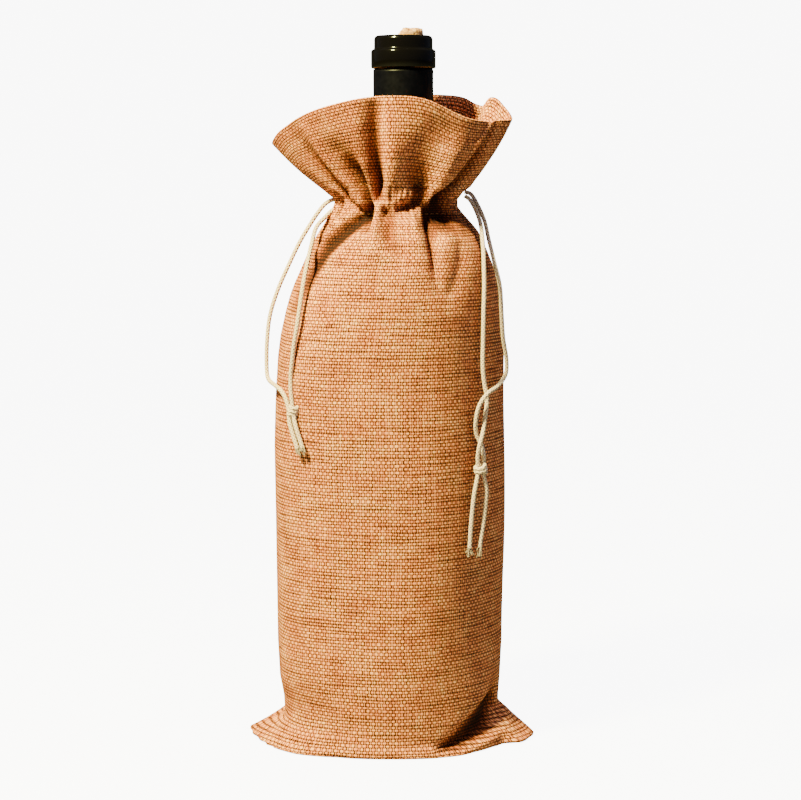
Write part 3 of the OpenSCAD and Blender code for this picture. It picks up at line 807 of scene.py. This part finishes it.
def outer_cloth():
    """Rows of points all round: from the bottom seam, under the base, up the wall and out to the rim."""
    direction = np.linspace(0, 360, RING + 1)
    d, z = np.meshgrid(direction, wall_z)
    x, y = section(z, d)
    nx, ny = np.cos(np.radians(d)), np.sin(np.radians(d))
    reach = corner_flare(d, z)
    wall_press = pressed_in(d, z)
    uneven = soft_noise(d, z, 5, 6, 26.0) * 0.45 * np.clip(z / 30, 0, 1)
    edge = 1.6 * (1 - np.sqrt(np.clip(1 - (1 - np.clip(z / 3.4, 0, 1)) ** 2, 0, 1)))
    out = -wall_press + uneven - edge + np.clip((z - 232) / 16, 0, 1) * puckers(d, z)
    wall = np.stack([x + nx * (out + reach), y + ny * (out + reach), z], axis=-1)
    push_clear(wall, np.interp(z, *BOTTLE_ROOM), z > 2)

    rd, t = np.meshgrid(direction, rise)
    base_x, base_y = section(np.full_like(rd, GATHER), rd)
    rim_x, rim_y, rim_z = (smooth_periodic(RIM[:, 0], RIM[:, k], rd) for k in (1, 2, 3))
    pz = GATHER + (rim_z - GATHER) * t
    small = (1 - np.clip((t - 0.04) / 0.2, 0, 1)) * puckers(rd, pz)
    ruffle_press = pressed_in(rd, pz)
    top = 1.6 * np.sin(math.pi * t) - ruffle_press + small + 0.5 * soft_noise(rd, pz, 21, 9, 14.0) * t
    join = np.clip(1 - t / 0.14, 0, 1)
    out = top * (1 - join) + out[-1][None] * join
    flare = t ** 0.92
    ruffle = np.stack([base_x + (rim_x - base_x) * flare + np.cos(np.radians(rd)) * out,
                       base_y + (rim_y - base_y) * flare + np.sin(np.radians(rd)) * out, pz], axis=-1)
    push_clear(ruffle, NECK_ROOM - LESS_ABOVE * np.clip((pz - 258) / 6, 0, 1), pz > 2)

    base = []
    for f in base_f:
        row = wall[0].copy()
        row[:, 1] = wall[0][:, 1] * f
        base.append(row)
    grid = np.concatenate([np.array(base), wall, ruffle])
    grid[:, -1] = grid[:, 0]
    # painted shade in the folds: darker with each fold's depth and along the painted-shade strokes
    dark = [np.clip(np.maximum(press / 11, pressed_in(at, high, FOLD_SHADE_STROKES)), 0, 1)
            for press, at, high in ((wall_press, d, z), (ruffle_press, rd, pz))]
    none = np.zeros((len(base), RING + 1))
    return grid, np.concatenate([none, wall_press, ruffle_press]), np.concatenate([none] + dark)


def grid_normals(grid):
    wide = np.concatenate([grid[:, -2:-1], grid, grid[:, 1:2]], axis=1)
    n = np.cross(np.gradient(wide, axis=1)[:, 1:-1], np.gradient(grid, axis=0))
    return n / np.maximum(np.linalg.norm(n, axis=2), 1e-9)[..., None]


GRID, PRESSED, PAINTED_FOLD_SHADE = outer_cloth()
NORMAL = grid_normals(GRID)
ROW_Z = GRID[:, :, 2].mean(axis=1)
ROW_Z[:len(base_f)] = -1


def row_at(z):
    return int(np.argmin(np.abs(ROW_Z - z)))


def ring_radius(points):
    return np.hypot(points[..., 0] - NECK_CENTRE[0], points[..., 1] - NECK_CENTRE[1])


def smoothed(values, reach, operation=np.mean):
    """Running mean or least value round a closed ring."""
    v = values[:-1]
    stacked = np.array([np.roll(v, k) for k in range(-reach, reach + 1)])
    out = operation(stacked, axis=0)
    return np.append(out, out[0])


# Room for a cord inside the casing: the outer layer's deepest pleats just clear it.
CASING = slice(row_at(246), row_at(256) + 1)
CORD_RING = smoothed(smoothed(ring_radius(GRID[CASING]).min(axis=0), 5, np.min), 6) - 1.6


# The turned-in cloth: how far it lies behind the outer layer, the height of the row it ends above,
# and how far it is drawn in behind the cord, by height.
INNER_GAP = 1.2
HEM_END = 243
DRAWN_IN = ([HEM_END, 246, 256, 263], [0.4, 1, 1, 0])


def inner_layer(i):
    """A row of the turned-in cloth behind row i of the outer layer."""
    row = GRID[i] - INNER_GAP * NORMAL[i]
    share = float(np.interp(ROW_Z[i], *DRAWN_IN))
    outer = ring_radius(GRID[i])
    pinched = CORD_RING - 1.7 - 0.3 * np.clip(outer - CORD_RING - 1.6, 0, 4)
    held = GRID[i].copy()
    held[:, :2] = NECK_CENTRE + (GRID[i][:, :2] - NECK_CENTRE) * (pinched / outer)[:, None]
    return row * (1 - share) + held * share


# Flat width of one panel, thickness of the cloth and radius of the fold at the rim, in millimetres.
PANEL_WIDTH = 150.0
CLOTH_THICK = 0.5
RIM_FOLD = 0.6


def cloth_panel(name, columns, nodes, seam_u):
    """One panel from the bottom seam to the rim, over it and down inside to the end of the hem."""
    outer = GRID[:, columns]
    normal = NORMAL[:, columns]
    rows = len(outer)
    fold = []
    up = outer[-1] - outer[-2]
    up /= np.linalg.norm(up, axis=1)[:, None]
    for angle in (45, 90, 135):
        a = math.radians(angle)
        fold.append(outer[-1] + up * RIM_FOLD * math.sin(a) - normal[-1] * RIM_FOLD * (1 - math.cos(a)))
    inner = [inner_layer(i)[columns] for i in range(rows - 1, row_at(HEM_END), -2)]
    grid = np.concatenate([outer, np.array(fold), np.array(inner)])
    # flat-cloth coordinates: thread spacing stays even along each row
    run = np.cumsum(np.linalg.norm(np.diff(grid, axis=1, prepend=grid[:, :1]), axis=2), axis=1)
    # the spare width of the gathered rows lies in the folds, so the weave keeps its size on the ridges
    press = np.concatenate([PRESSED[:, columns], np.repeat(PRESSED[-1:, columns], len(grid) - rows, axis=0)])
    share = np.cumsum(0.2 + np.clip(press, 0, 10) ** 1.3 / 3, axis=1)
    share = (share - share[:, :1]) / (share[:, -1:] - share[:, :1])
    spare = np.maximum(PANEL_WIDTH - run[:, -1:], 0)
    u = run * np.minimum(PANEL_WIDTH / run[:, -1:], 1) + spare * share
    keep = np.clip((grid[..., 2] - 20) / 30, 0, 1)
    u = u * keep + np.linspace(0, PANEL_WIDTH, COLUMNS)[None] * (1 - keep)
    middle = slice(COLUMNS // 3, 2 * COLUMNS // 3)
    step = np.linalg.norm(np.diff(grid, axis=0), axis=2)[:, middle].mean(axis=1)
    v = np.concatenate([[0], np.cumsum(step)])[:, None] + 0 * u
    uv = np.stack([u + seam_u, v], axis=-1)
    obj = add_mesh(name, grid.reshape(-1, 3), grid_faces(len(grid), COLUMNS), CLOTH, uv.reshape(-1, 2))
    # the painted fold shade goes to the material in its own UV layer
    dark = np.concatenate([PAINTED_FOLD_SHADE[:, columns], np.zeros((len(grid) - rows, COLUMNS))]).ravel()
    add_layer(obj.data, "fold_shade", np.column_stack([dark, dark]))
    thicken(obj, CLOTH_THICK)
    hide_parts(*nodes)
    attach(obj, "bag")
    return obj


def thicken(obj, thickness):
    thick = obj.modifiers.new("thickness", "SOLIDIFY")
    thick.thickness = thickness * MM
    thick.offset = -1
    bpy.context.view_layer.objects.active = obj
    bpy.ops.object.select_all(action="DESELECT")
    obj.select_set(True)
    bpy.ops.object.modifier_apply(modifier="thickness")


front = cloth_panel("front_cloth", slice(COLUMNS - 1, RING + 1),
                    ("front_panel", "front_shoulder", "front_casing", "front_ruffle"), 0.0)
back = cloth_panel("back_cloth", slice(0, COLUMNS),
                   ("back_panel", "back_shoulder", "back_casing", "back_ruffle"), PANEL_WIDTH)


def inside_strip(name, column):
    """Spare cloth of a side seam, lying flat inside the bag."""
    rows = range(row_at(22), row_at(240), 2)
    columns = [(column + k) % RING for k in range(-3, 4)]
    grid = np.array([GRID[i][columns] - 0.9 * NORMAL[i][columns] for i in rows])
    v = ROW_Z[list(rows)][:, None] + np.zeros(7)
    u = np.linspace(-4, 4, 7)[None] + np.zeros((len(v), 1))
    uv = np.stack([u, v], axis=-1).reshape(-1, 2)
    strip = add_mesh(name, grid.reshape(-1, 3), grid_faces(len(grid), 7), CLOTH, uv)
    thicken(strip, CLOTH_THICK)
    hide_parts(name.replace("_cloth", ""))
    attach(strip, "bag")
    place = column % RING
    thread = np.array([GRID[i][place] - 1.8 * NORMAL[i][place] for i in rows])
    side = name.split("_")[0]
    seam = tubes(side + "_seam_thread", [thread], 0.25, STITCH, sides=6)
    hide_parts(side + "_side_stitching")
    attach(seam, "bag")


inside_strip("left_seam_allowance_cloth", COLUMNS - 1)
inside_strip("right_seam_allowance_cloth", 0)


def bottom_place(x, y):
    """A point of the bottom seam's spare cloth, a little wavy."""
    return x, y + 0.4 * math.sin(x * 0.2), 1.1 + 0.5 * (1 - abs(y) / 4) + 0.15 * math.sin(x * 0.7 + y)


turned = np.array([[bottom_place(x, y) for x in np.linspace(-46, 43, 60)] for y in (-4, -2, 0, 2, 4)])
turned_uv = turned[..., :2].reshape(-1, 2)
bottom_strip = add_mesh("bottom_seam_cloth", turned.reshape(-1, 3), grid_faces(5, 60), CLOTH, turned_uv)
thicken(bottom_strip, 0.45)
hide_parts("bottom_seam_allowance")
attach(bottom_strip, "bag")


# A stitch dips into the cloth at both ends. Its length, and the distance from one to the next.
STITCH_ARCH = np.array([-0.35, 0.05, 0.16, 0.16, 0.05, -0.35])[:, None]
STITCH_LONG = 2.4
STITCH_STEP = 3.3


def running_stitches(line, out, lift):
    """Stitches along a line of points on the cloth; out is the cloth's normal at each."""
    run = distances(line)
    made = []
    for start in np.arange(1.0, run[-1] - STITCH_LONG, STITCH_STEP):
        at = np.linspace(start, start + STITCH_LONG, len(STITCH_ARCH))
        made.append(points_at(at, run, line) + points_at(at, run, out) * (STITCH_ARCH + lift))
    return made


CASING_ROWS = (("lower_casing_stitches", 245.5, "lower_casing_stitching"),
               ("upper_casing_stitches", 258.5, "upper_casing_stitching"))
for name, z, node_name in CASING_ROWS:
    i = row_at(z)
    row = running_stitches(GRID[i], NORMAL[i], lift=-0.05)
    stitches = tubes(name, row, 0.15, STITCH, sides=6)
    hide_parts(node_name)
    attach(stitches, "bag")
bottom_line = np.array([(x, -0.8, 2.2) for x in np.linspace(-44, 41, 60)])
bottom_row = running_stitches(bottom_line, np.tile([0, 0, 1.0], (60, 1)), lift=0.0)
bottom_stitches = tubes("bottom_seam_stitches", bottom_row, 0.2, STITCH, sides=6)
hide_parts("bottom_stitching")
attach(bottom_stitches, "bag")

for side, z, first in (("left", 248.5, COLUMNS - 1), ("right", 253.5, 0)):
    i = row_at(z)
    order = [(first + k) % RING for k in range(4, RING - 3)]
    ring = GRID[i][order]
    scale = (CORD_RING / ring_radius(GRID[i]))[order][:, None]
    path = np.column_stack([NECK_CENTRE + (ring[:, :2] - NECK_CENTRE) * scale, np.full(len(ring), z)])
    held_cord = tubes(side + "_cord_in_casing", [path], CORD_RADIUS * 0.95, CORD, sides=10)
    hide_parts(side + "_cord_run")
    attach(held_cord, "bag")
bpy.data.objects["wine"].data.materials.clear()
bpy.data.objects["wine"].data.materials.append(WINE)

# ---------- bottle
BODY_RADIUS = 37.5
HEEL_RADIUS = 5
NECK_RADIUS = 13.35
RING_RADIUS = 14.75
BORE_RADIUS = 9.25
SHOULDER = (BODY_RADIUS, 185, NECK_RADIUS, 238, 30)


def eased(r0, z0, r1, z1, count):
    """A smooth shoulder between two points of (radius, height)."""
    f = np.linspace(0, 1, count)
    s = (1 - np.cos(np.pi * f)) / 2
    return [(r0 + (r1 - r0) * k, z0 + (z1 - z0) * j) for k, j in zip(s, f)]


outside = [(0.05, BOTTOM + 22), (6, BOTTOM + 21.4), (13, BOTTOM + 17.6), (20, BOTTOM + 10),
           (26, BOTTOM + 3), (30, BOTTOM + 0.2), (32.5, BOTTOM)]
outside += [(BODY_RADIUS - HEEL_RADIUS * (1 - math.cos(a)), BOTTOM + HEEL_RADIUS * (1 + math.sin(a)))
            for a in map(math.radians, range(-75, 1, 15))]
outside += eased(*SHOULDER)
outside += [(NECK_RADIUS, 300), (NECK_RADIUS, 310.8), (13.7, 311.0), (14.4, 311.1), (RING_RADIUS, 311.7),
            (RING_RADIUS, 318.6), (14.4, 319.3), (13.8, 319.6), (13.45, 319.9), (NECK_RADIUS, 320.4),
            (NECK_RADIUS, 323.9), (13.1, 324.9), (12.6, 325.5), (11.9, TOP), (9.9, TOP),
            (9.4, TOP - 0.5), (BORE_RADIUS, TOP - 1.4), (BORE_RADIUS, 246)]
inside = [(min(r - 3.0, 34.5), z) for r, z in reversed(eased(*SHOULDER))]
inside += [(34.5, BOTTOM + 14), (30, BOTTOM + 7), (26, BOTTOM + 7.2), (13, BOTTOM + 21.8),
           (6, BOTTOM + 25.4), (0.05, BOTTOM + 26)]
bottle = spun("bottle_shell", outside + inside, NECK_X, GLASS)
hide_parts("bottle_glass")
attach(bottle, "bottle")

segments = 128
angles = 2 * math.pi * np.arange(segments) / segments
foil_line = [(13.42, 252.2), (13.66, 252), (13.72, 252.4)]
foil_line += [(13.72, z) for z in np.linspace(254, 309.2, 40)]
foil_line += [(13.74, 309.8), (13.68, 310.5), (13.5, 310.6), (13.4, 310.2)]
foil_rows = []
for r, z in foil_line:
    ripple = 0.05 * np.cos(3 * angles + z * 0.11) + 0.03 * np.cos(7 * angles - z * 0.3)
    top_wave = (0.25 * np.cos(2 * angles + 0.6) - 0.2) * (z > 309.5)
    reach = r + ripple * (r > 13.6)
    foil_rows.append(np.column_stack([NECK_X + reach * np.cos(angles), reach * np.sin(angles), z + top_wave]))
foil_faces = grid_faces(len(foil_rows), segments, closed=True)
foil = add_mesh("capsule_sleeve", np.vstack(foil_rows), foil_faces, CAPSULE)
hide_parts("foil_capsule")
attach(foil, "bottle")

# Cork: a crumbled top standing proud, fuller on one side.
cork_rows = []
ring = 2 * math.pi * np.arange(96) / 96
crumbs = np.random.default_rng(4)
phase = crumbs.uniform(0, 6.28, 12)
for r, z in [(0.05, 285.2), (8.9, 285.2), (9.15, 286)] + [(9.15, k) for k in np.linspace(290, 325, 12)]:
    cork_rows.append(np.column_stack([NECK_X + r * np.cos(ring), r * np.sin(ring), np.full(96, z)]))
for k, r in enumerate([9.1, 9.0, 8.6, 7.8, 6.8, 5.6, 4.4, 3.2, 2.0, 0.9, 0.05]):
    px = NECK_X + r * np.cos(ring)
    py = r * np.sin(ring)
    proud = np.clip((px - NECK_X + 4.5) / 5, 0, 1)
    lift = -1.7 + 4.6 * proud * proud * (3 - 2 * proud)
    rough = sum(0.3 * np.cos((1 + j % 5) * 0.9 * px + phase[j])
                * np.cos((1 + j % 4) * 1.1 * py + phase[-1 - j]) for j in range(6))
    top = TOP + min(1.0, k / 2) * (lift + rough * min(1, r / 2))
    cork_rows.append(np.column_stack([px, py, np.clip(top, 323.6, 329.1)]))
cork = add_mesh("crumbled_cork", np.vstack(cork_rows), grid_faces(len(cork_rows), 96, closed=True), CORK)
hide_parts("cork")
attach(cork, "cork")

# ---------- setting
# Pale floor that bends up behind the bag. All in metres, but it lies BELOW the ground by millimetres.
FLOOR_FRONT = -3.0
FLOOR_BACK = 1.6
BEND = 1.2
WALL_TOP = 4.0
HALF_WIDTH = 3.5
BELOW = 0.3
# Strength of the white that the camera sees.
WHITE = 9.0
profile = [(FLOOR_FRONT, 0.0), (FLOOR_BACK, 0.0)]
profile += [(FLOOR_BACK + BEND * math.sin(a), BEND - BEND * math.cos(a))
            for a in map(math.radians, range(6, 91, 6))]
profile += [(FLOOR_BACK + BEND, WALL_TOP)]
sweep = [(x * 1000, y * 1000, z * 1000 - BELOW) for y, z in profile for x in (-HALF_WIDTH, HALF_WIDTH)]
pale = Graph("pale_floor")
pale.set("Base Color", (0.22, 0.22, 0.22, 1))
pale.set("Roughness", 0.8)
seen = pale.node("LightPath").outputs["Is Camera Ray"]
pale.set("Emission Strength", pale.times(seen, WHITE))
pale.set("Emission Color", (1, 1, 1, 1))
floor = add_mesh("floor", sweep, grid_faces(len(profile), 2), pale.material)


def soft_light(name, place, size, power, colour):
    light = bpy.data.lights.new(name, "AREA")
    light.shape = "DISK"
    light.size = size
    light.energy = power
    light.color = colour
    obj = bpy.data.objects.new(name, light)
    bpy.context.scene.collection.objects.link(obj)
    obj.location = place
    obj.rotation_euler = (AIM - Vector(place)).to_track_quat("-Z", "Y").to_euler()
    return obj


key = soft_light("key_light", (-0.42, -0.42, 0.9), 0.12, 72, (1.0, 0.95, 0.33))
fill = soft_light("fill_light", (0.9, -1.1, 0.35), 0.9, 2.0, (0.8, 0.92, 1.3))
fill.visible_glossy = False
top = soft_light("top_light", (0.15, 0.06, 1.2), 0.5, 8, (1.0, 0.98, 0.9))
top.visible_glossy = False
world = bpy.data.worlds.new("studio")
bpy.context.scene.world = world
world.use_nodes = True
# The camera sees a white world; the cloth is lit by a dim, slightly blue one.
WORLD_LIGHT = 0.18
WORLD_TINT = (0.86, 0.93, 1.2, 1)
sky = world.node_tree
background = sky.nodes["Background"]
seen = sky.nodes.new("ShaderNodeLightPath").outputs["Is Camera Ray"]
strength = sky.nodes.new("ShaderNodeMapRange")
strength.inputs["To Min"].default_value = WORLD_LIGHT
strength.inputs["To Max"].default_value = WHITE
tint = sky.nodes.new("ShaderNodeMix")
tint.data_type = "RGBA"
tint.inputs[6].default_value = WORLD_TINT
tint.inputs[7].default_value = (1, 1, 1, 1)
sky.links.new(seen, strength.inputs["Value"])
sky.links.new(seen, tint.inputs[0])
sky.links.new(strength.outputs[0], background.inputs[1])
sky.links.new(tint.outputs[2], background.inputs[0])
